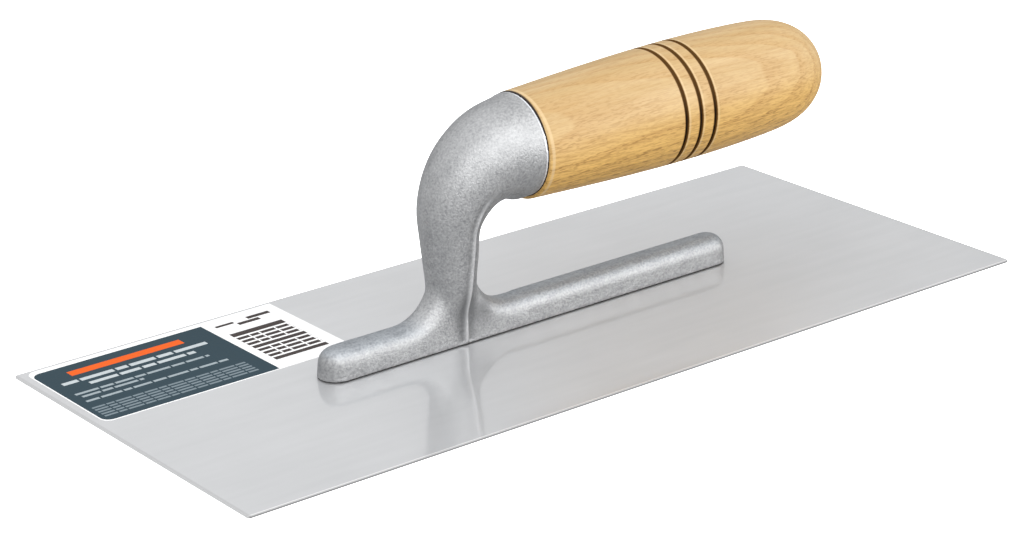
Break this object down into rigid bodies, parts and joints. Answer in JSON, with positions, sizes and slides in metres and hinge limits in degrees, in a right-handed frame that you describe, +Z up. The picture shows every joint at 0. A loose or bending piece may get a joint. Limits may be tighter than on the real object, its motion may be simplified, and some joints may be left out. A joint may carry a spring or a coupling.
{
  "type": "finishing trowel",
  "caption": "Steel finishing trowel: a thin flat rectangular blade riveted to a cast gooseneck mounting that carries a turned wooden handle above it.",
  "frame": {"origin": "underside of the blade, at the middle of its length and width", "axes": "+X along the blade towards the handle's butt end, +Y across the blade to the side with the label, +Z up from the blade to the handle"},
  "size_m": [0.28, 0.1226, 0.0743],
  "materials": {
    "blade_steel": "satin ground sheet steel, light grey",
    "cast_aluminium": "fine blasted grain of a grey aluminium casting",
    "rivet_aluminium": "ground flush with the blade",
    "turned_wood": "pale yellow wood under satin varnish, rings burnt dark",
    "screw_steel": "bright zinc plate",
    "label_paper": null
  },
  "bodies": {
    "root": {"blade": "blade_steel", "mounting": "cast_aluminium", "rivet_1": "rivet_aluminium", "rivet_2": "rivet_aluminium", "rivet_3": "rivet_aluminium", "rivet_4": "rivet_aluminium", "rivet_5": "rivet_aluminium", "rivet_6": "rivet_aluminium", "handle": "turned_wood", "handle_screw": "screw_steel", "handle_washer": "screw_steel", "blade_label": "label_paper"}
  },
  "joints": []
}
